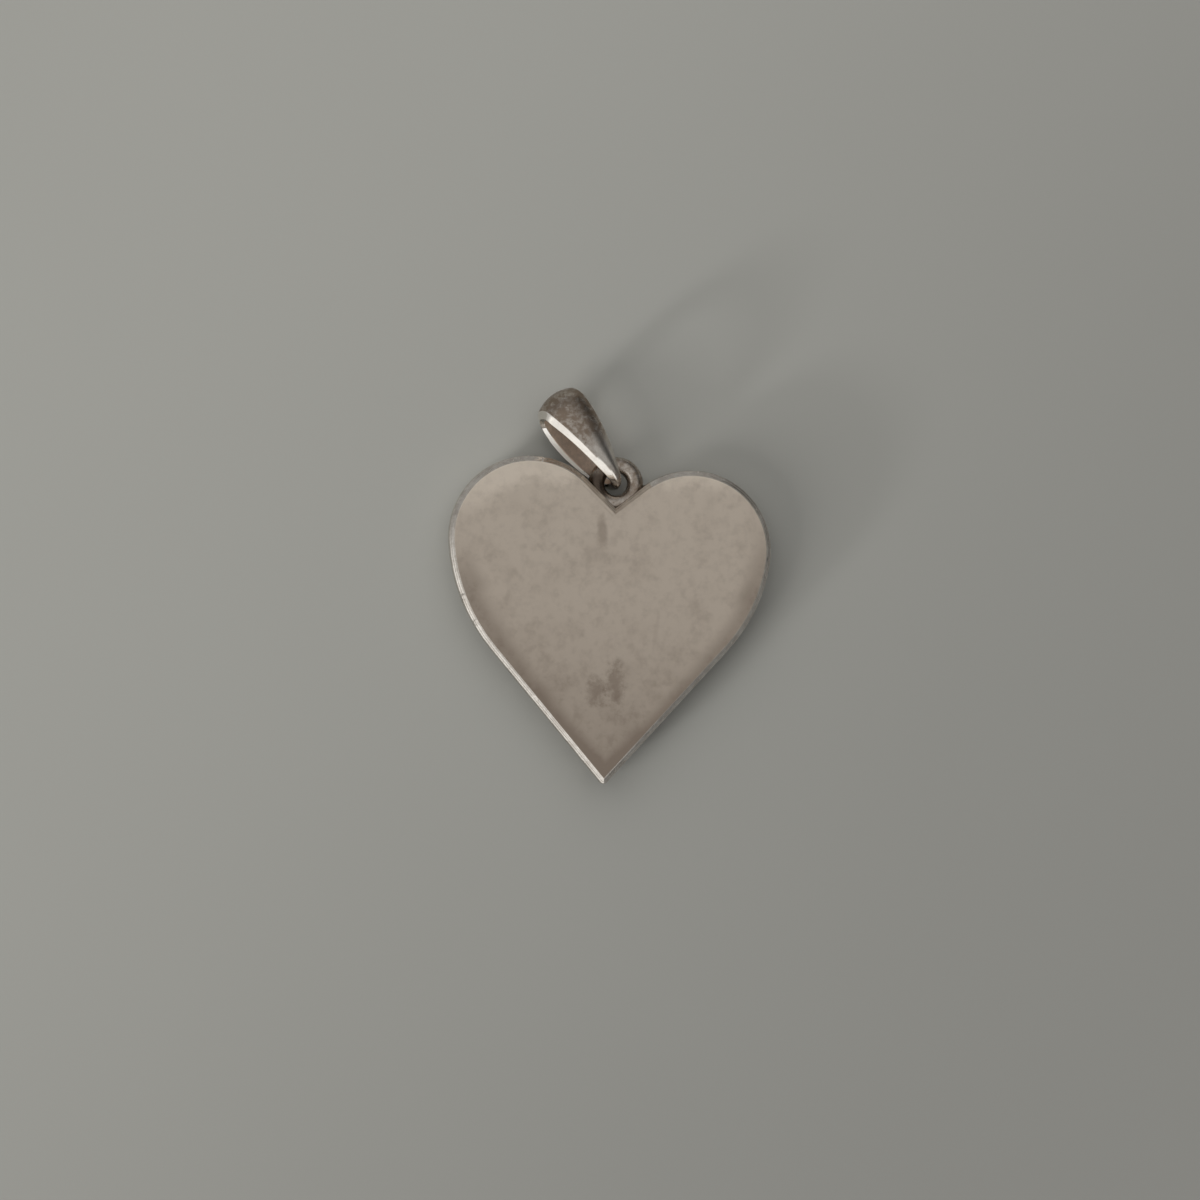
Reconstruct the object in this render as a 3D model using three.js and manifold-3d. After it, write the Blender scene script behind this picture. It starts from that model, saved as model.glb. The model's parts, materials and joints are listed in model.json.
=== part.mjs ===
// Heart pendant: a flat hollow silver heart that lies on its front, with an eye ring let into its notch and a
// tapered bail linked through the ring.
// Millimetres. +X to the right, +Y from the tip towards the notch, +Z out of the back plate.
// The origin is on the flat front face, on the line through the tip and the notch, at half the heart's height.

import * as THREE from 'three';
import { mergeVertices } from 'three/addons/utils/BufferGeometryUtils.js';
import Module from 'manifold-3d';

const wasm = await Module();
wasm.setup();

const { Vector2, Vector3 } = THREE;
const rad = THREE.MathUtils.degToRad;

// Driving dimensions of the heart's outline. It was cut by hand, so its lobes differ a little: the left one is
// larger and stands higher. x and y place the centre of a lobe's arc, and flank is the notch's side to the axis.
const rightLobe = { side: 1, x: 4.34, y: 4.15, radius: 4.49, sideRadius: 9.2, flank: rad(50.2) };
const leftLobe = { side: -1, x: 4.68, y: 4.5, radius: 4.56, sideRadius: 10.4, flank: rad(47) };
const sideStart = rad(-6);          // where the fuller side arc takes over from a lobe's arc, from +X
const tipHeight = -9.2;             // where the straight sides would meet
const tipRadius = 0.28;             // rounding of the tip
const leastTipRadius = 0.02;        // and what is left of it on outlines that lie further in

// Driving dimensions of the two sheets
const thickness = 2.4;              // front face to back face
const shellWall = 0.38;             // silver of the front shell
const plateThickness = 0.4;         // silver of the back plate
const frontEdgeWidth = 1.6;         // the shell's rounded edge, seen from the front
const frontEdgeHeight = 1.5;        // and its rise from the front face
const rimWidth = 0.3;               // polished bevel round the back, seen from the back
const rimHeight = 0.6;              // and its height
const rimTurn = rad(60);            // how far the bevel rolls over before its crease

// Driving dimensions of the eye ring
const ringRadius = 1.08;            // to the middle of the wire
const wireRadius = 0.45;
const ringReach = 1.3;              // ring's centre beyond the point of the notch
const seatGap = 0.03;               // solder gap round the wire, in the shell's groove and under the back plate

// Driving dimensions of the bail, a strip bent to a closed lens-shaped loop
const loopLength = 5.0;             // inside, from foot to head
const loopDepth = 1.88;             // inside, at the widest place
const loopBelly = 2.3;              // from the foot to the widest place
const footEase = 0.09;              // half the loop's depth, less the inside radius at the foot
const headBend = 0.4;               // inside radius at the head
const footCrown = 0.52;             // thickness of the strip's middle at the foot
const headCrown = 0.93;             // and at the head
const thicken = 0.73;               // how early or late the strip thickens, 1 for evenly
const footWidth = 0.47;             // strip's width at the foot
const headWidth = 2.8;              // and at the head
const flare = 0.83;                 // how early or late the strip widens, 1 for straight edges
const headFull = 0.3;               // length at the head that is full width and full thickness
const shoulderShare = 0.685;        // height of the dome's edges, against the middle's thickness
const ridgeShare = 0.26;            // height of the ridge along each side, against the same
const facetLean = rad(32.5);        // lean of the two filed facets that meet at a ridge
const hollowRadius = 3.2;           // radius across the hollowed inside

const footBend = loopDepth / 2 - footEase;
const flareEnd = loopLength - headFull;

// How the bail lies. Its foot stands in the middle of the ring's hole, so the slack between the wire's surface and
// the inside of the foot follows from the hole.
const footSlack = ringRadius - wireRadius - footCrown / 2;
const hookTurn = rad(46);           // place on the ring that it hooks, to the left of the heart's axis
const bailLean = rad(37);           // its own direction, to the left of the heart's axis
const bailRoll = rad(21);           // rolled about its own length, left side up
const bailPitch = rad(9);           // head higher than foot

// Smoothness of the curved forms
const lobeSteps = 26;
const sideSteps = 8;
const tipSteps = 8;
const edgeSteps = 8;
const wallRimSteps = 2;
const ringSteps = 48;
const wireSteps = 16;
const bendSteps = 8;
const armSteps = 12;
const domeSteps = 8;
const hollowSteps = 4;
const samePoint = 1e-5;             // points closer than this are one point

// Points of an arc, both ends included
function arcPoints(centre, radius, from, to, steps) {
  return Array.from({ length: steps + 1 }, (_, i) => {
    const angle = from + (to - from) * i / steps;
    return new Vector2(centre.x + radius * Math.cos(angle), centre.y + radius * Math.sin(angle));
  });
}

// Where two lines meet, each given by its unit normal and its distance from the origin along it
function meet(normalA, reachA, normalB, reachB) {
  const turn = normalA.cross(normalB);
  return new Vector2(
    (reachA * normalB.y - reachB * normalA.y) / turn,
    (reachB * normalA.x - reachA * normalB.x) / turn,
  );
}

// A lobe's arcs and straight lines. The straight side runs from the tip, tangent to the side arc; the flank runs
// from the notch, tangent to the lobe's arc. Normals point out of the heart.
function lobeForm({ side, x, y, radius, sideRadius, flank }) {
  const sideCentre = new Vector2(Math.cos(sideStart), Math.sin(sideStart)).multiplyScalar(radius - sideRadius);
  sideCentre.add(new Vector2(x, y - tipHeight));
  const tipAngle = Math.atan2(sideCentre.x, sideCentre.y) + Math.asin(sideRadius / sideCentre.length());
  const sideNormal = new Vector2(side * Math.cos(tipAngle), -Math.sin(tipAngle));
  const flankNormal = new Vector2(-side * Math.cos(flank), Math.sin(flank));
  return {
    tipAngle,
    sideNormal,
    flankNormal,
    flankReach: flankNormal.dot(new Vector2(side * x, y)) + radius,
    points: (inset) => [
      ...arcPoints(sideCentre, sideRadius - inset, -tipAngle, sideStart, sideSteps)
        .map((p) => new Vector2(side * p.x, p.y + tipHeight)),
      ...arcPoints({ x, y }, radius - inset, sideStart, Math.PI - flank, lobeSteps).slice(1)
        .map((p) => new Vector2(side * p.x, p.y)),
    ],
  };
}

const right = lobeForm(rightLobe);
const left = lobeForm(leftLobe);

// The point of the notch, moved into the heart by inset
function notchPoint(inset) {
  return meet(right.flankNormal, right.flankReach - inset, left.flankNormal, left.flankReach - inset);
}

// The rounded tip, moved into the heart by inset
function tipPoints(inset) {
  const radius = Math.max(tipRadius - inset, leastTipRadius);
  const reach = (normal) => normal.y * tipHeight - inset - radius;
  const centre = meet(right.sideNormal, reach(right.sideNormal), left.sideNormal, reach(left.sideNormal));
  return arcPoints(centre, radius, left.tipAngle - Math.PI, -right.tipAngle, tipSteps);
}

// The heart's outline, moved in by inset, anticlockwise from the tip. Every inset has as many points.
function heartOutline(inset) {
  return [...tipPoints(inset), ...right.points(inset), notchPoint(inset), ...left.points(inset).reverse()];
}

// A solid skinned over rings of points. It closes on itself, or ends in flat caps where their outlines are given.
function loft(rings, firstCap, lastCap) {
  const count = rings[0].length;
  const positions = rings.flat().flatMap((p) => [p.x, p.y, p.z]);
  const faces = [];
  for (let r = 0; r + 1 < rings.length; r++) {
    for (let i = 0; i < count; i++) {
      const j = (i + 1) % count;
      const [a, b, c, d] = [r * count + i, r * count + j, (r + 1) * count + j, (r + 1) * count + i];
      faces.push(a, b, c, a, c, d);
    }
  }
  if (firstCap) {
    const last = (rings.length - 1) * count;
    const triangles = (cap) => THREE.ShapeUtils.triangulateShape(cap, []);
    triangles(firstCap).forEach(([a, b, c]) => faces.push(a, c, b));
    triangles(lastCap).forEach(([a, b, c]) => faces.push(last + a, last + b, last + c));
  }
  const geometry = new THREE.BufferGeometry();
  geometry.setAttribute('position', new THREE.Float32BufferAttribute(positions, 3));
  geometry.setIndex(faces);
  geometry.computeVertexNormals();
  return geometry;
}

// A solid skinned over copies of the heart's outline, each given as [inset, height], from the front upwards
function heartLoft(levels) {
  const outlines = levels.map(([inset]) => heartOutline(inset));
  const rings = outlines.map((outline, i) => outline.map((p) => new Vector3(p.x, p.y, levels[i][1])));
  return loft(rings, outlines[0], outlines.at(-1));
}

// Levels of the rounded front edge, from the wall down to the face, on the outside or a sheet's depth inside it
function frontEdge(depth) {
  return Array.from({ length: edgeSteps + 1 }, (_, i) => {
    const angle = (Math.PI / 2) * i / edgeSteps;
    const inset = frontEdgeWidth - (frontEdgeWidth - depth) * Math.cos(angle);
    return [inset, frontEdgeHeight - (frontEdgeHeight - depth) * Math.sin(angle)];
  });
}

// Levels of the bevel between two heights, rolling over more and more towards the crease
function rimLevels(from, to, steps) {
  return Array.from({ length: steps + 1 }, (_, i) => {
    const height = from + (to - from) * i / steps;
    const rise = (height - thickness) / rimHeight + 1;
    const turn = Math.asin(THREE.MathUtils.clamp(rise, 0, 1) * Math.sin(rimTurn));
    return [rimWidth * (1 - Math.cos(turn)) / (1 - Math.cos(rimTurn)), height];
  });
}

const plateBottom = thickness - plateThickness;
const ringCentre = new Vector3(
  notchPoint(0).x,
  notchPoint(0).y + ringReach,
  plateBottom - seatGap - wireRadius,
);

function toManifold(geometry) {
  const bare = geometry.clone();
  bare.deleteAttribute('normal');
  bare.deleteAttribute('uv');
  const merged = mergeVertices(bare, samePoint);
  return new wasm.Manifold(new wasm.Mesh({
    numProp: 3,
    vertProperties: new Float32Array(merged.attributes.position.array),
    triVerts: new Uint32Array(merged.index.array),
  }));
}

function toGeometry(manifold) {
  const mesh = manifold.getMesh();
  const geometry = new THREE.BufferGeometry();
  geometry.setAttribute('position', new THREE.BufferAttribute(new Float32Array(mesh.vertProperties), 3));
  geometry.setIndex(new THREE.BufferAttribute(new Uint32Array(mesh.triVerts), 1));
  geometry.computeVertexNormals();
  return geometry;
}

// Eye ring: round wire turned about the ring's own axis
function ringGeometry() {
  const wire = arcPoints({ x: ringRadius, y: 0 }, wireRadius, 0, 2 * Math.PI, wireSteps);
  wire[wireSteps].copy(wire[0]);
  return new THREE.LatheGeometry(wire, ringSteps).rotateX(Math.PI / 2);
}

// The groove that takes the ring: round at the bottom, open at the top of the wall
function ringGroove() {
  const reach = wireRadius + seatGap;
  const open = plateThickness + reach;
  const section = [
    ...arcPoints({ x: ringRadius, y: 0 }, reach, Math.PI, 2 * Math.PI, wireSteps / 2),
    new Vector2(ringRadius + reach, open),
    new Vector2(ringRadius - reach, open),
    new Vector2(ringRadius - reach, 0),
  ];
  return new THREE.LatheGeometry(section, ringSteps).rotateX(Math.PI / 2)
    .translate(ringCentre.x, ringCentre.y, ringCentre.z);
}

// Front shell: one pressed sheet, its inside following its outside, with the ring's groove through its notch
function frontShell() {
  const outside = frontEdge(0).reverse();
  const rim = rimLevels(thickness - rimHeight, plateBottom, wallRimSteps);
  const tray = heartLoft([...outside, ...rim, [shellWall, plateBottom], ...frontEdge(shellWall)]);
  return toGeometry(toManifold(tray).subtract(toManifold(ringGroove())));
}

// Back plate: a flat sheet on the shell's wall, its edge filed to the bevel
function backPlate() {
  return heartLoft(rimLevels(plateBottom, thickness, edgeSteps));
}

// The bail's path along the inside of the strip: a bend at the head, a long arc to the widest place, a long arc
// to the foot's bend, and the same back. x runs from the inside of the foot to the head, y across the loop.
// Each station has a point and the direction out of the loop.
function loopPath() {
  const half = loopDepth / 2;
  const headCentre = loopLength - headBend;
  const drop = (run, bend) => (run * run / (half - bend) - (half - bend)) / 2;
  const footDrop = drop(loopBelly - footBend, footBend);
  const headDrop = drop(headCentre - loopBelly, headBend);
  const footTurn = Math.atan2(footDrop, footBend - loopBelly);
  const headTurn = Math.atan2(headDrop, headCentre - loopBelly);
  const arc = (x, y, radius, from, to, steps) => Array.from({ length: steps }, (_, i) => {
    const angle = from + (to - from) * i / steps;
    const outward = new Vector2(Math.cos(angle), Math.sin(angle));
    return { point: new Vector2(x, y).addScaledVector(outward, radius), outward };
  });
  const upper = [
    ...arc(headCentre, 0, headBend, 0, headTurn, bendSteps),
    ...arc(loopBelly, -headDrop, half + headDrop, headTurn, Math.PI / 2, armSteps),
    ...arc(loopBelly, -footDrop, half + footDrop, Math.PI / 2, footTurn, armSteps),
    ...arc(footBend, 0, footBend, footTurn, Math.PI, bendSteps),
  ];
  const flip = (v) => new Vector2(v.x, -v.y);
  const foot = { point: new Vector2(0, 0), outward: new Vector2(-1, 0) };
  const lower = upper.slice(1).reverse().map((station) => ({
    point: flip(station.point),
    outward: flip(station.outward),
  }));
  return [...upper, foot, ...lower];
}

// The strip's section, [across, out of the loop]: domed outside, hollowed inside, and filed along each side to a
// ridge between a wide outer facet and a narrow inner one
function stripSection(fromFoot) {
  const along = THREE.MathUtils.clamp(fromFoot / flareEnd, 0, 1);
  const halfWidth = THREE.MathUtils.lerp(footWidth, headWidth, along ** flare) / 2;
  const crown = THREE.MathUtils.lerp(footCrown, headCrown, along ** thicken);
  const ridge = ridgeShare * crown;
  const shoulder = shoulderShare * crown;
  const outerReach = halfWidth - (shoulder - ridge) * Math.tan(facetLean);
  const innerReach = halfWidth - ridge * Math.tan(facetLean);
  const rise = crown - shoulder;
  const domeRadius = (outerReach ** 2 + rise ** 2) / (2 * rise);
  const dome = Math.asin(outerReach / domeRadius);
  const hollow = Math.asin(innerReach / hollowRadius);
  const domeCentre = { x: 0, y: crown - domeRadius };
  const hollowCentre = { x: 0, y: -hollowRadius * Math.cos(hollow) };
  const up = Math.PI / 2;
  return [
    ...arcPoints(domeCentre, domeRadius, up - dome, up + dome, domeSteps),
    new Vector2(-halfWidth, ridge),
    ...arcPoints(hollowCentre, hollowRadius, up + hollow, up - hollow, hollowSteps),
    new Vector2(halfWidth, ridge),
  ];
}

// Bail: the strip skinned round its path, a closed loop with no ends. The wire passes through the origin.
// x runs along the loop, y across the strip and z through the loop's depth.
function bailGeometry() {
  const wirePlace = wireRadius + footSlack;
  const rings = loopPath().map(({ point, outward }) => stripSection(point.x).map((p) => new Vector3(
    point.x - wirePlace + outward.x * p.y,
    -p.x,
    point.y + outward.y * p.y,
  )));
  return loft([...rings, rings[0]]);
}

// Materials: satin silver on the back plate, polished silver elsewhere
const satin = () => new THREE.MeshStandardMaterial({ color: 0x998f83, roughness: 0.5, metalness: 1 });
const polished = () => new THREE.MeshStandardMaterial({ color: 0xc9c4bb, roughness: 0.15, metalness: 1 });

function piece(name, geometry, material) {
  const mesh = new THREE.Mesh(geometry, material);
  mesh.name = name;
  return mesh;
}

const pendant = new THREE.Group();
pendant.add(piece('front_shell', frontShell(), polished()));
pendant.add(piece('back_plate', backPlate(), satin()));

const eyeRing = piece('eye_ring', ringGeometry(), polished());
eyeRing.position.copy(ringCentre);
pendant.add(eyeRing);

// The bail is hooked on the ring's wire: rolled about its own length, lifted, then turned to where it lies
const bail = piece('bail', bailGeometry(), polished());
bail.position.set(-ringRadius * Math.sin(hookTurn), ringRadius * Math.cos(hookTurn), 0).add(ringCentre);
bail.rotation.set(bailRoll, -bailPitch, Math.PI / 2 + bailLean, 'ZYX');
pendant.add(bail);

export default pendant;
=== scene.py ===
# %% [markdown]
# # A silver heart pendant
# The pendant lies on its front, so what shows is its satin back, the polished rim round it, the eye ring in
# its notch and the bail that swings on the ring. Its measured solids are loaded first. They are the frame:
# every finer piece that is made here stays where its solid is.

# %% Load the measured solids
import json

import bmesh
import bpy
from mathutils import Matrix, Vector
from math import cos, pi, radians, sin, tan


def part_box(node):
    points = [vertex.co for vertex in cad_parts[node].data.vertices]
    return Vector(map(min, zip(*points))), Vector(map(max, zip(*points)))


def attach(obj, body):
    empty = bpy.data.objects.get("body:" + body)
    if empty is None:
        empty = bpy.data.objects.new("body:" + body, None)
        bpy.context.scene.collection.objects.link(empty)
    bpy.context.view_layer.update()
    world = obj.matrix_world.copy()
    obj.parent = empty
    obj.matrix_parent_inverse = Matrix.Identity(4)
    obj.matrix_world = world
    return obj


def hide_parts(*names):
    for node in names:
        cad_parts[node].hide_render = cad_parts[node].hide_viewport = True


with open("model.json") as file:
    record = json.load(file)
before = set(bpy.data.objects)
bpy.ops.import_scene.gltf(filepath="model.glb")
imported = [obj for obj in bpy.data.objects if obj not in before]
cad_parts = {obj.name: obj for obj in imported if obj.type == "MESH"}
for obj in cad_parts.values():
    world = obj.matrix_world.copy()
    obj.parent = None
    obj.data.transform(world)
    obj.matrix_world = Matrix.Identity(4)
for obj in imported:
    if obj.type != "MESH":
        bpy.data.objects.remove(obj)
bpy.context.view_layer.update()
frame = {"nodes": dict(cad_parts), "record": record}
MM = 0.001                      # Blender works in metres, and the pendant's sizes are in millimetres
print("solids:", ", ".join(sorted(frame["nodes"])))

# %% [markdown]
# ## A clean copy of a solid
# A solid arrives as loose triangles, so light breaks at each of them. They could be left loose and shaded
# flat, as on a cut stone. Rolled silver is smooth, so a copy is welded, its pairs of triangles become
# quads, and only the edges that are really sharp stay sharp.

# %% Weld a copy and find its sharp edges
WELD = 0.0002 * MM


def welded(node):
    """A bmesh copy of a measured solid, welded and with its quads put back."""
    copy = bmesh.new()
    copy.from_mesh(frame["nodes"][node].data)
    bmesh.ops.remove_doubles(copy, verts=copy.verts, dist=WELD)
    bmesh.ops.join_triangles(copy, faces=copy.faces, angle_face_threshold=radians(4),
                             angle_shape_threshold=radians(40))
    return copy


def shade_smooth(shape, sharp_angle):
    """Smooth shading, broken only at edges that turn by more than sharp_angle."""
    for face in shape.faces:
        face.smooth = True
    for edge in shape.edges:
        edge.smooth = edge.calc_face_angle(0) < sharp_angle


# %% [markdown]
# ## From a bmesh to a piece
# A finished shape becomes an object at the origin, with its place in its mesh. It rides with a body, and
# stands for the measured solid that it replaces, which is hidden.

# %% Make a piece of the pendant
def piece(name, shape, body, node):
    mesh = bpy.data.meshes.new(name)
    shape.to_mesh(mesh)
    shape.free()
    made = bpy.data.objects.new(name, mesh)
    bpy.context.scene.collection.objects.link(made)
    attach(made, body)
    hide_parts(node)
    size = [round(value / MM, 2) for value in made.dimensions]
    print(name, "measures", size, "mm and has", len(mesh.polygons), "faces")
    return made


# %% [markdown]
# ## Back plate
# The back is a flat sheet, sawn to the heart and soldered on. Its edge was filed to one even slope, and
# that slope is the band of light along the lower left side. A fine step runs along it at the solder seam. A
# bevel can't reach across the rows of points that are there already. So the flat face is inset, which makes
# the crease, and the rows outside it are moved onto the new section.

# %% Find the rows of points round the back plate
NEAR_TIP, TIP_WELD = 0.08 * MM, 0.03 * MM       # the crowded points at the tip become one
plate_shape = welded("back_plate")
bmesh.ops.dissolve_limit(plate_shape, angle_limit=radians(0.1), verts=plate_shape.verts,
                         edges=plate_shape.edges)
back_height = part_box("back_plate")[1].z
on_back = [v for v in plate_shape.verts if back_height - v.co.z < WELD]
tip = min(on_back, key=lambda v: v.co.y).co.copy()
bmesh.ops.remove_doubles(plate_shape, verts=[v for v in on_back if (v.co - tip).length < NEAR_TIP],
                         dist=TIP_WELD)
rows = {}
for v in plate_shape.verts:
    rows.setdefault(round(v.co.z / MM, 2), []).append(v)
print({height: len(points) for height, points in sorted(rows.items(), reverse=True)})

# %% File the slope and its step
SLOPE, SLOPE_WIDTH = radians(30), 0.10
NOTCH = 2.1 * MM                # how far from the ring's centre the file and the buff didn't reach
NARROWER = 0.065                # how much narrower the slope is there, in mm
CREASE_EASE = 0.015 * MM
low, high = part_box("eye_ring")
ring_centre = (low + high) / 2
# Rows at the step, by height in mm: how far each moves outward and its new height
SECTION = {2.2: (-0.023, 2.225), 2.15: (0.011, 2.189), 2.1: (0.022, 2.150), 2.05: (0.017, 2.090)}
top = max(rows)
crease_left = min(v.co.x for v in rows[top]) / MM
flat = max(plate_shape.faces, key=lambda face: face.calc_center_median().z + face.calc_area())
bmesh.ops.inset_region(plate_shape, faces=[flat], thickness=SLOPE_WIDTH * MM, use_even_offset=True)
inner = [v for v in flat.verts if (v.co - ring_centre).length < NOTCH]
moves = []
for height, points in rows.items():
    out = crease_left - min(v.co.x for v in points) / MM
    shift, lowered = SECTION.get(height, (0.0, min(height, top - (out + SLOPE_WIDTH) * tan(SLOPE))))
    if height > min(rows):
        moves += [(v, Vector((v.normal.x, v.normal.y, 0)).normalized() * shift * MM, lowered * MM)
                  for v in points]
for v, aside, height in moves:
    v.co += aside
    v.co.z = height
plate_shape.normal_update()
for v in inner:
    v.co += Vector((v.normal.x, v.normal.y, 0)).normalized() * NARROWER * MM
print("the slope is narrow at", len(inner), "points in the notch")
crease = [edge for edge in plate_shape.edges if all(abs(v.co.z - top * MM) < WELD for v in edge.verts)]
bmesh.ops.bevel(plate_shape, geom=crease, offset=CREASE_EASE, offset_type="OFFSET", affect="EDGES",
                segments=2, profile=0.5, material=-1, clamp_overlap=True)
shade_smooth(plate_shape, radians(35))
back_plate = piece("satin_back", plate_shape, "heart", "back_plate")
print("eased", len(crease), "edges of the crease")

# %% [markdown]
# ## Front shell
# The front is one sheet pressed to a shallow tray. Its rounded edge was formed in a die, so it is smooth,
# and its top edge and the groove that takes the ring are cut sharp.

# %% Clean the front shell
shell_shape = welded("front_shell")
shade_smooth(shell_shape, radians(30))
front_shell = piece("pressed_front", shell_shape, "heart", "front_shell")

# %% [markdown]
# ## Eye ring
# The ring is round wire, closed with solder. A torus could be used, but a spin says how the ring is made: a
# circle of wire is swept round the ring's own axis, and its end is welded to its beginning.

# %% Spin the wire round the ring's axis
wire_radius = (high.z - low.z) / 2
ring_radius = (high.x - low.x) / 2 - wire_radius
ring_shape = bmesh.new()
turned = Matrix.Translation(ring_centre + Vector((ring_radius, 0, 0))) @ Matrix.Rotation(pi / 2, 4, "X")
wire = bmesh.ops.create_circle(ring_shape, segments=32, radius=wire_radius, matrix=turned)["verts"]
wire_edges = [edge for edge in ring_shape.edges]
bmesh.ops.spin(ring_shape, geom=wire + wire_edges, cent=ring_centre, axis=(0, 0, 1), angle=2 * pi,
               steps=96, use_merge=True)
bmesh.ops.remove_doubles(ring_shape, verts=ring_shape.verts, dist=WELD)
bmesh.ops.recalc_face_normals(ring_shape, faces=ring_shape.faces)
shade_smooth(ring_shape, radians(60))
eye_ring = piece("wire_ring", ring_shape, "heart", "eye_ring")

# %% [markdown]
# ## Bail
# The bail is one tapered strip bent to a closed loop. Its outside is domed, and each side was filed to two
# flat facets that meet at a ridge. The wide outer facet is the bright band that shows first, so its borders
# have to be crisp. A Subdivision Surface modifier would round everything alike. So the sharpest edges get a
# narrow bevel, and the softer shoulder beside the dome gets a crease that grows with its angle, before the
# modifier smooths the rest. First the lower arm's inner facet, which shows as a narrow sliver, is filed
# flatter and wider. That needs the bail's own three directions: across the strip, along the loop and
# through it.

# %% Find the bail's own directions
opening = next(mount for mount in frame["record"]["mounts"] if mount["name"] == "bail_opening")
middle, cross = Vector(opening["pos_m"]), Vector(opening["axis"]).normalized()
along = middle - ring_centre
along = (along - cross * along.dot(cross)).normalized()
through = along.cross(cross)
through *= 1 if through.z > 0 else -1
print("across", cross, "along", along, "through", through)

# %% File the lower arm's inner facet
ON_THE_SIDE = 0.7               # a face is on a filed side if its normal leans this much across the strip
RIDGE_OUT, RIDGE_END = 0.10, 2.2    # how far the ridge moves at its middle, and where that ends, in mm
bail_shape = welded("bail")
ridge = [v for v in bail_shape.verts if (v.co - middle).dot(through) < 0
         and all(face.normal.dot(cross) > ON_THE_SIDE for face in v.link_faces)]
for v in ridge:
    reach = (v.co - middle).dot(along) / MM
    v.co += cross * RIDGE_OUT * MM * max(0, 1 - (reach / RIDGE_END) ** 2)
bail_shape.normal_update()
print("moved", len(ridge), "points of the ridge")

# %% Keep the bail's facets crisp and round the rest
FACET_EDGE = 0.02 * MM
FILED_ANGLE = radians(45)
CREASE_FROM, CREASE_OVER, CREASE_MOST = radians(12), radians(16), 0.85
ALONG_THE_LOOP = 0.4            # an edge that leans less than this across the strip runs along the loop
filed = [edge for edge in bail_shape.edges if edge.calc_face_angle(0) > FILED_ANGLE]
bmesh.ops.bevel(bail_shape, geom=filed, offset=FACET_EDGE, offset_type="OFFSET", affect="EDGES",
                segments=2, profile=0.5, material=-1, clamp_overlap=True)
creases = bail_shape.edges.layers.float.new("crease_edge")
for edge in bail_shape.edges:
    runs = (edge.verts[0].co - edge.verts[1].co).normalized()
    if abs(runs.dot(cross)) < ALONG_THE_LOOP:
        edge[creases] = min(max((edge.calc_face_angle(0) - CREASE_FROM) / CREASE_OVER, 0), CREASE_MOST)
shade_smooth(bail_shape, radians(80))
bail = piece("tapered_bail", bail_shape, "bail", "bail")
rounding = bail.modifiers.new("rounding", "SUBSURF")
rounding.levels = rounding.render_levels = 2
print("bevelled", len(filed), "filed edges")

# %% [markdown]
# ## Shader maths in plain Python
# A pattern is a sum: so much grain, less tarnish, more shade near the tip. Each sign would be a Math node
# to place and wire by hand. This small class wraps a socket, so that an expression such as 1 - mask adds
# the nodes itself.

# %% A socket that can be used in an expression
class Value:
    def __init__(self, finish, socket):
        self.finish, self.socket = finish, socket

    def maths(self, operation, first, second):
        return self.finish.node("ShaderNodeMath", {"operation": operation}, {0: first, 1: second})

    def __add__(self, other):
        return self.maths("ADD", self, other)

    def __radd__(self, other):
        return self.maths("ADD", other, self)

    def __sub__(self, other):
        return self.maths("SUBTRACT", self, other)

    def __rsub__(self, other):
        return self.maths("SUBTRACT", other, self)

    def __mul__(self, other):
        return self.maths("MULTIPLY", self, other)

    def __rmul__(self, other):
        return self.maths("MULTIPLY", other, self)

    def __truediv__(self, other):
        return self.maths("DIVIDE", self, other)

    def __rtruediv__(self, other):
        return self.maths("DIVIDE", other, self)

    def __pow__(self, other):
        return self.maths("POWER", self, other)


# %% [markdown]
# ## A finish
# Every finish starts from the same place: a metal shader and the piece's own coordinates, in millimetres,
# so that a scratch of 0.1 is a tenth of a millimetre wide.

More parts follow.
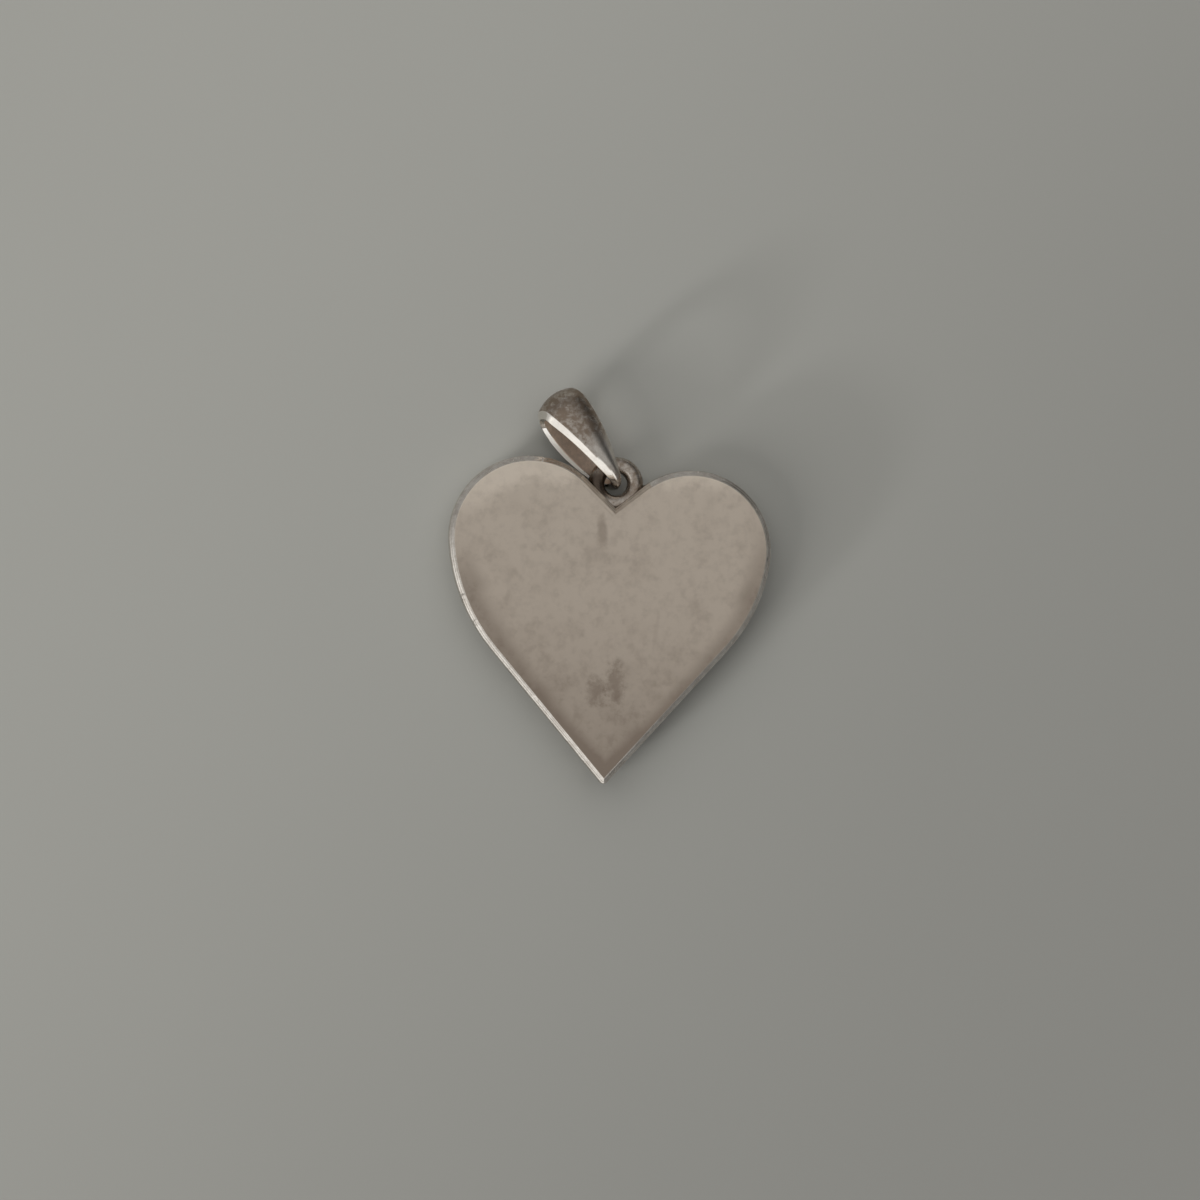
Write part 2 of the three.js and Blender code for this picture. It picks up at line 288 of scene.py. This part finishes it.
# %% A finish and the patterns that it can use
class Finish:
    def __init__(self, name, **shader_settings):
        self.material = bpy.data.materials.new(name)
        self.material.use_nodes = True
        self.tree = self.material.node_tree
        self.tree.nodes.clear()
        shader = self.node("ShaderNodeBsdfPrincipled", {}, shader_settings)
        self.shader = shader.socket.node
        self.node("ShaderNodeOutputMaterial", {}, {"Surface": shader}, output=None)
        metres = self.node("ShaderNodeTexCoord", {}, {}, output="Object")
        self.place = self.node("ShaderNodeVectorMath", {"operation": "SCALE"}, {0: metres, "Scale": 1 / MM})
        self.parts = self.node("ShaderNodeSeparateXYZ", {}, {0: self.place}, output=None)

    def node(self, kind, settings, sockets, output=0):
        made = self.tree.nodes.new(kind)
        for key, setting in settings.items():
            if key == "stops":
                ramp = made.color_ramp.elements
                while len(ramp) < len(setting):
                    ramp.new(0.5)
                for element, (position, colour) in zip(ramp, setting):
                    element.position, element.color = position, (*colour, 1)
            else:
                setattr(made, key, setting)
        for key, value in sockets.items():
            if isinstance(value, Value):
                self.tree.links.new(value.socket, made.inputs[key])
            else:
                made.inputs[key].default_value = value
        return made if output is None else Value(self, made.outputs[output])

    def across(self, axis):
        """The x, y or z of the place, in millimetres."""
        return Value(self, self.parts.outputs[axis])

    def noise(self, size, detail=4, roughness=0.55, place=None):
        """Soft patches about size millimetres wide, from 0 to 1."""
        return self.node("ShaderNodeTexNoise", {}, {"Vector": place or self.place, "Scale": 1 / size,
                                                    "Detail": detail, "Roughness": roughness})

    def ramp(self, value, start, end, low=0.0, high=1.0):
        """A soft step of value, from low at start to high at end."""
        return self.node("ShaderNodeMapRange", {"interpolation_type": "SMOOTHSTEP"},
                         {"Value": value, "From Min": start, "From Max": end, "To Min": low, "To Max": high})

    def spot(self, x, y, width, height, turn=0.0, soft=0.5, ragged=0.0):
        """1 inside an ellipse on the back, 0 outside it, with a soft border that a ragged pattern shifts."""
        right, up = self.across("X") - x, self.across("Y") - y
        along = (right * cos(turn) + up * sin(turn)) / (width / 2)
        beside = (up * cos(turn) - right * sin(turn)) / (height / 2)
        return self.ramp((along ** 2 + beside ** 2) ** 0.5 + ragged, 1 - soft, 1 + soft, 1.0, 0.0)

    def mix(self, factor, first, second):
        made = self.node("ShaderNodeMix", {"data_type": "RGBA"}, {"Factor": factor}, output=None)
        for key, colour in ((6, first), (7, second)):
            if isinstance(colour, Value):
                self.tree.links.new(colour.socket, made.inputs[key])
            else:
                made.inputs[key].default_value = (*colour, 1)
        return Value(self, made.outputs[2])

    def bump(self, height, depth, strength=1.0):
        """A bump whose height is in millimetres times depth."""
        return self.node("ShaderNodeBump", {}, {"Height": height, "Distance": depth * MM,
                                                "Strength": strength})

    def feed(self, **links):
        for key, value in links.items():
            self.tree.links.new(value.socket, self.shader.inputs[key.replace("_", " ")])


# %% [markdown]
# ## Satin back
# The back was rubbed with a fine abrasive and has seen wear since. What makes it look like silver isn't its
# colour but how unevenly it is dulled: soft patches, a fine grain, a browner bloom in patches, and a few
# marks of handling. One flat grey would look like plastic. Over that comes a painted shade that darkens the
# back towards the tip, and a painted shade and highlight beside the rim. The outline is nearly four arcs, two
# for the lobes and two for the sides, so the distance to the rim can be worked out from their centres and
# radii.

# %% The satin silver of the back
RUBBED = (0.88, 0.78, 0.67)
# The darker colour that both the browner bloom and the painted shade blend towards.
BLOOM_AND_SHADE = (0.345, 0.28, 0.23)
LOBE, SIDE = (4.326, 4.109, 4.226), (-36.06, 28.46, 51.80)      # the outline's arcs: x, y, radius in mm
STAIN = (0.33, 0.265, 0.215)
satin = Finish("satin_silver", Metallic=1.0, Roughness=0.45)
patches = satin.noise(2.2, detail=5)
mottle = satin.noise(0.55, detail=5, roughness=0.65)
grain = satin.noise(0.09, detail=3, roughness=0.7)
# Painted shade: the back grows darker towards the tip.
painted_shade_to_tip = (satin.ramp(satin.across("Y"), 9.0, 2.0) * 0.1
              + satin.ramp(satin.across("Y"), 3.5, -14.0) * 0.78)
bloom = satin.ramp(mottle, 0.42, 0.72) * 0.18 + satin.ramp(patches, 0.45, 0.7) * 0.14
torn = (satin.noise(0.4, detail=5, roughness=0.7) - 0.5) * 3.0
stroke = satin.spot(-0.70, 4.97, 0.52, 1.7, turn=radians(5), ragged=torn * 0.4)
blots = (satin.spot(-0.70, -3.93, 0.85, 1.4, ragged=torn, soft=0.7)
         + satin.spot(0.40, -3.50, 0.85, 2.2, turn=radians(4), ragged=torn, soft=0.7))
fold = satin.spot(2.53, -0.48, 0.22, 2.1, turn=radians(-6))
scuffs = satin.spot(2.84, -4.12, 1.4, 0.7, turn=radians(-20)) + satin.spot(7.65, 2.95, 0.9, 1.7)
marks = stroke * 0.52 + blots * (0.5 + mottle * 0.5) + scuffs * 0.14 + fold * 0.14

# %% Painted shade beside the rim below, painted highlight beside it above
from_middle = satin.across("X").maths("ABSOLUTE", satin.across("X"), 0)
to_lobe = (LOBE[2] - ((from_middle - LOBE[0]) ** 2 + (satin.across("Y") - LOBE[1]) ** 2) ** 0.5
           + satin.ramp(from_middle, 3.0, 1.0) * 3)
to_side = SIDE[2] - ((from_middle - SIDE[0]) ** 2 + (satin.across("Y") - SIDE[1]) ** 2) ** 0.5
on_lobe = satin.ramp(satin.across("Y"), 1.0, 2.0)
beside_rim = satin.ramp(to_lobe * on_lobe + to_side * (1 - on_lobe) + (mottle - 0.5) * 0.8,
                        0.1, 1.1, 1.0, 0.0)
tipped = satin.across("Y") - satin.across("X") * 0.1
# Painted shade beside the lower rim and a painted highlight beside the upper rim, as a gently domed back
# would mirror them.
border = beside_rim * (satin.ramp(tipped, 5.5, 2.5) * 0.34 - satin.ramp(tipped, 6.0, 8.0) * 0.3)
# The bloom is the back's own uneven tone. The darkening towards the tip and beside the rim is painted shade
# and highlight.
bloom_and_painted_shade = 0.315 + (painted_shade_to_tip + bloom) * 0.663 + border
satin.feed(
    Base_Color=satin.mix(marks, satin.mix(bloom_and_painted_shade, RUBBED, BLOOM_AND_SHADE), STAIN),
    Roughness=0.42 + patches * 0.08,
    Normal=satin.bump(patches * 0.8 + mottle * 0.1 + grain * 0.02 - fold * 0.12, 0.02),
)
print("satin back:", len(satin.tree.nodes), "nodes")

# %% [markdown]
# ## Polished silver
# The rim, the ring and the bail were buffed. Buffed silver is almost a mirror, so it takes its brightness
# from what stands round it. Wear shows as hairline scratches and as a brown tarnish that stays where no
# cloth reaches.

# %% Polished silver, more or less tarnished
BRIGHT = (0.84, 0.80, 0.745)
TARNISH = (0.30, 0.235, 0.185)
PAINTED_SHADE_DARK = (0.11, 0.085, 0.068)
BEAD_WIDTH, BEAD_HEIGHT = 0.3, 2.2


def polished(name, tarnish, uneven, roughness, wave, beads=(), painted_shade_spots=(), rubbed=(), bright=BRIGHT,
             metal=1.0):
    """Buffed silver. tarnish is how brown it is, from 0 to 1, and uneven how much that varies. wave is how
    far from flat it was buffed. Solder stands proud at the beads, some given places get a painted shade that
    darkens them, and others are rubbed paler. bright is the colour without tarnish, and metal the shader's
    Metallic."""
    silver = Finish(name, Metallic=metal, Roughness=roughness)
    cloud = silver.noise(1.1, detail=5, roughness=0.6)
    speck = silver.noise(0.3, detail=4, roughness=0.7)
    stretched = silver.node("ShaderNodeMapping", {}, {"Vector": silver.place, "Rotation": (0, 0, radians(35)),
                                                      "Scale": (9.0, 0.7, 3.0)})
    hairlines = silver.noise(1.0, detail=3, roughness=0.8, place=stretched)
    brown = silver.ramp(cloud * 0.4 + speck * 0.6, 0.36, 0.64, tarnish - uneven, tarnish + uneven)
    for x, y, width in rubbed:
        brown = brown * (1 - silver.spot(x, y, width, width, soft=0.8) * 0.65)
    height = cloud * wave + hairlines * 0.05 + speck * 0.1
    for x, y in beads:
        height = height + silver.spot(x, y, BEAD_WIDTH, BEAD_WIDTH, soft=0.5) * BEAD_HEIGHT
    colour = silver.mix(brown, bright, TARNISH)
    # Painted shade: each given place is darkened as if another part shaded it.
    for x, y, width in painted_shade_spots:
        colour = silver.mix(silver.spot(x, y, width, width, soft=0.4), colour, PAINTED_SHADE_DARK)
    silver.feed(
        Base_Color=colour,
        Roughness=roughness + brown * 0.12 + silver.ramp(hairlines, 0.55, 0.75) * 0.06,
        Normal=silver.bump(height, 0.012),
    )
    return silver


BEADS = ((-8.25, 1.02), (-7.5, -0.36), (-4.1, -4.48), (-1.42, -7.7), (-4.05, 8.8), (8.7, 3.8))
rim_silver = polished("polished_rim", tarnish=0.25, uneven=0.2, roughness=0.2, wave=0.8, beads=BEADS)
# The ring has real tarnish, plus a painted shade on its left arc under the bail's upper arm.
ring_silver = polished("tarnished_and_shaded_ring", tarnish=0.8, uneven=0.3, roughness=0.18, wave=0.8,
                       painted_shade_spots=((-0.95, 7.55, 1.6),))
dome_silver = polished("tarnished_dome", tarnish=0.9, uneven=0.35, roughness=0.18, wave=1.4,
                       rubbed=((-0.45, 9.3, 2.6),))
facet_silver = polished("bright_facet", tarnish=0.05, uneven=0.08, roughness=0.14, wave=0.3)
# Painted highlight: a pale, mostly matt colour stands in for the bright reflection of the lower arm's inner
# facets, which as mirrors show only the dark wall of the lobe.
lower_facet_painted_highlight = polished("pale_facet_painted_highlight", tarnish=0.0, uneven=0.06, roughness=0.3, wave=0.3,
                        bright=(0.95, 0.93, 0.89), metal=0.2)
inside_silver = polished("dull_inside", tarnish=0.1, uneven=0.15, roughness=0.45, wave=1.0,
                         bright=(0.95, 0.78, 0.65))

# %% [markdown]
# ## Where each finish goes
# The plate has two finishes: its flat face is satin, and the slope round it was buffed with the rim, except
# in the notch. The bail has four: the dome is tarnished, the facets are rubbed bright, the lower arm's inner
# facets get a pale, mostly matt colour that is a painted highlight, and the inside, which no cloth reaches,
# is dull. Each face is given one by the way it points.

# %% Give the pieces their finishes
FLAT = 0.995                    # a face is flat if its normal points this nearly straight up or down


def finish_with(made, *finishes):
    made.data.materials.clear()
    for finish in finishes:
        made.data.materials.append(finish.material)


finish_with(front_shell, rim_silver)
finish_with(eye_ring, ring_silver)
finish_with(back_plate, satin, rim_silver)
for face in back_plate.data.polygons:
    in_notch = (face.center - ring_centre).length < NOTCH and face.normal.z > 0.5
    face.material_index = 0 if in_notch or abs(face.normal.z) > FLAT else 1

# %% The bail's dome, facets and inside
FACET, EDGEWISE = 0.6, 0.5      # a facet's normal leans at least this far across the strip, the inside's less
LOW_ARM, FACES_IN = -0.4 * MM, 0.3      # where the lower arm lies, and how far its facets lean inward
finish_with(bail, dome_silver, facet_silver, inside_silver, lower_facet_painted_highlight)
for face in bail.data.polygons:
    outward = face.center - middle
    outward -= cross * outward.dot(cross)
    if face.normal.dot(outward) < 0 and abs(face.normal.dot(cross)) < EDGEWISE:
        face.material_index = 2
    elif abs(face.normal.dot(cross)) > FACET:
        inner_low = (face.center - middle).dot(through) < LOW_ARM and face.normal.dot(through) > FACES_IN
        face.material_index = 3 if inner_low else 1
for index, part in enumerate(("dome", "facets", "inside", "lower arm's inner facets")):
    print(part, sum(face.material_index == index for face in bail.data.polygons), "faces")

# %% [markdown]
# ## The surface that it lies on
# The pendant lies on a plain pale grey sheet. It is wide enough to fill the view from any side, because
# polished silver shows what lies round it. Its colour grows darker towards the lower right, which is a
# painted falloff of the light.

# %% A pale floor with a painted falloff of light
PALE, FALLOFF_SHADE_GREY = (0.330, 0.329, 0.307), (0.226, 0.225, 0.211)
FLOOR_SIZE, FLOOR_BELOW = 0.6, -0.01 * MM
SLANT_X, SLANT_Y, FADE = 0.82, 0.57, 45.0       # the way that the floor grows dim, and how far, in mm
floor_shape = bmesh.new()
bmesh.ops.create_grid(floor_shape, x_segments=1, y_segments=1, size=FLOOR_SIZE,
                      matrix=Matrix.Translation((0, 0, FLOOR_BELOW)))
floor_mesh = bpy.data.meshes.new("floor")
floor_shape.to_mesh(floor_mesh)
floor_shape.free()
floor = bpy.data.objects.new("floor", floor_mesh)
bpy.context.scene.collection.objects.link(floor)
matt = Finish("pale_sheet", Metallic=0.0, Roughness=0.85)
# Painted falloff of the light: the floor grows darker towards the lower right.
away = matt.ramp(matt.across("X") * SLANT_X - matt.across("Y") * SLANT_Y, -FADE, FADE)
matt.feed(Base_Color=matt.mix(away * 0.94 + matt.noise(14.0, detail=2) * 0.06, PALE, FALLOFF_SHADE_GREY))
floor.data.materials.append(matt.material)

# %% [markdown]
# ## Camera
# The camera looks almost straight down from a quarter of a metre, a little from the left, and is turned a
# few degrees. A long lens keeps the pendant's sides out of sight. Its place is worked out from the point of
# the back that lies at a known place in the frame.

# %% Place the camera
TURN, TILT, TILT_SIDE = radians(2.54), radians(5), radians(175)
DISTANCE, WIDTH, PIXELS = 250 * MM, 66.73 * MM, 1200
SENSOR = 36
KNOWN_POINT = Vector((0, 4.357, 2.4))           # a point of the back, in mm
FROM_POINT = Vector((-14.59, -56.41, 0))        # from it to the frame's middle, in pixels
upright = Matrix.Rotation(TURN, 3, "Z")
lean_side = upright @ Vector((cos(TILT_SIDE), sin(TILT_SIDE), 0))
lean = Matrix.Rotation(TILT, 3, Vector((0, 0, 1)).cross(lean_side))
facing = lean @ upright
aim = KNOWN_POINT * MM + facing @ FROM_POINT * (WIDTH / PIXELS)
camera_data = bpy.data.cameras.new("camera")
camera_data.sensor_width = SENSOR
camera_data.lens = SENSOR * DISTANCE / WIDTH
camera_data.clip_start, camera_data.clip_end = 0.005, 10
camera = bpy.data.objects.new("camera", camera_data)
camera.matrix_world = Matrix.Translation(aim + facing @ Vector((0, 0, DISTANCE))) @ facing.to_4x4()
bpy.context.scene.collection.objects.link(camera)
bpy.context.scene.camera = camera
print("camera at", [round(value / MM, 1) for value in camera.matrix_world.translation], "mm")

# %% [markdown]
# ## Light
# One soft window stands low on the left, towards the viewer, so the shadow falls to the upper right. A low
# sun from nearly the same side draws the long edge of the bail's shadow. The rest of the light is an even
# glow from all round, a little stronger from the left, and a wide skylight high above the lobes. Polished
# silver is harder to light than paper, because it mirrors whatever stands round it. So the room that the
# silver and the camera see is a room of its own: paler overhead and on the left, with the window, a lit
# wall and a pale wall in it, and a dark corner and a dark door on the right. The Light Path node tells the
# two apart.

# %% A soft window
WINDOW_SIDE, WINDOW_HEIGHT, WINDOW_FAR = radians(217), radians(30), 0.8


def direction(side, height):
    """The direction to a light, from the way round that it stands and its height above the floor."""
    return Vector((cos(side) * cos(height), sin(side) * cos(height), sin(height)))


window_data = bpy.data.lights.new("window", "AREA")
window_data.shape, window_data.size, window_data.size_y = "RECTANGLE", 0.26, 0.42
window_data.energy = 2.9
window_data.color = (1.0, 0.985, 0.96)
window = bpy.data.objects.new("window", window_data)
window.visible_glossy = False
toward_window = direction(WINDOW_SIDE, WINDOW_HEIGHT)
window.matrix_world = (Matrix.Translation(toward_window * WINDOW_FAR)
                       @ toward_window.to_track_quat("Z", "Y").to_matrix().to_4x4())
bpy.context.scene.collection.objects.link(window)

# %% Its low sun, which draws the long edge of the bail's shadow
SUN_SIDE, SUN_HEIGHT = radians(220), radians(13)
sun_data = bpy.data.lights.new("low_sun", "SUN")
sun_data.energy, sun_data.angle = 1.25, radians(6)
low_sun = bpy.data.objects.new("low_sun", sun_data)
low_sun.visible_glossy = False
toward_sun = direction(SUN_SIDE, SUN_HEIGHT)
low_sun.matrix_world = toward_sun.to_track_quat("Z", "Y").to_matrix().to_4x4()
bpy.context.scene.collection.objects.link(low_sun)


# %% The room that the silver mirrors
class Room(Finish):
    """The world's nodes, which use the same helpers as a finish."""
    def __init__(self, world):
        world.use_nodes = True
        self.tree = world.node_tree
        self.tree.nodes.clear()
        self.direction = self.node("ShaderNodeTexCoord", {}, {}, output="Generated")

    def toward(self, side):
        """How nearly a direction points to a side: 1 straight at it, -1 straight away."""
        return self.node("ShaderNodeVectorMath", {"operation": "DOT_PRODUCT"}, {0: self.direction, 1: side},
                         output="Value")


LEFT = (-0.985, 0.174, 0)
DARK_CORNER, DARK_DOOR = (0.82, 0.14, 0.555), (0.66, 0.74, 0.06)
PANE = (-0.718, -0.541, 0.438)
LIT_WALL, PALE_WALL = (-0.23, -0.92, 0.31), (-0.96, -0.26, 0.12)
SKYLIGHT = (-0.09, 0.50, 0.86)
bpy.context.scene.world = bpy.data.worlds.new("room")
room = Room(bpy.context.scene.world)
up, left = room.toward((0, 0, 1)), room.toward(LEFT)
dark_corner = room.ramp(room.toward(DARK_CORNER), 0.89, 0.975)
dark_door = room.ramp(room.toward(DARK_DOOR), 0.92, 0.98)
walls = (0.27 + left * 0.08) * (1 - dark_corner.maths("MAXIMUM", dark_corner * 0.7, dark_door * 0.9))
pane = room.ramp(room.toward(PANE), 0.86, 0.97)
lit_wall = room.ramp(room.toward(LIT_WALL), 0.84, 0.95)
pale_wall = room.ramp(room.toward(PALE_WALL), 0.86, 0.98)
mirrored = (room.ramp(up, 0.45, 0.95, 0.0, 0.25) + walls + pale_wall * 0.2
            + pane.maths("MAXIMUM", pane * 0.62, lit_wall * 0.75))
skylight = room.ramp(room.toward(SKYLIGHT), 0.6, 0.95)
even = 0.29 + left * 0.08 + skylight * 1.2
path = room.node("ShaderNodeLightPath", {}, {}, output=None)
looked_at = room.ramp(Value(room, path.outputs["Diffuse Depth"]), 0.0, 1.0, 1.0, 0.0)
seen = looked_at * (Value(room, path.outputs["Is Camera Ray"]) + Value(room, path.outputs["Is Glossy Ray"])
                    + Value(room, path.outputs["Is Transmission Ray"]))
# What reaches the floor by way of the silver, which adds very little
thrown_back = (1 - looked_at) * Value(room, path.outputs["Is Glossy Ray"]) * (pane * 2.0 + skylight * 2.5)
strength = mirrored * seen + even * (1 - seen) + thrown_back
backdrop = room.node("ShaderNodeBackground", {}, {"Color": (1.0, 0.995, 0.975, 1), "Strength": strength})
room.node("ShaderNodeOutputWorld", {}, {"Surface": backdrop}, output=None)
bpy.context.scene.view_settings.view_transform = "Standard"
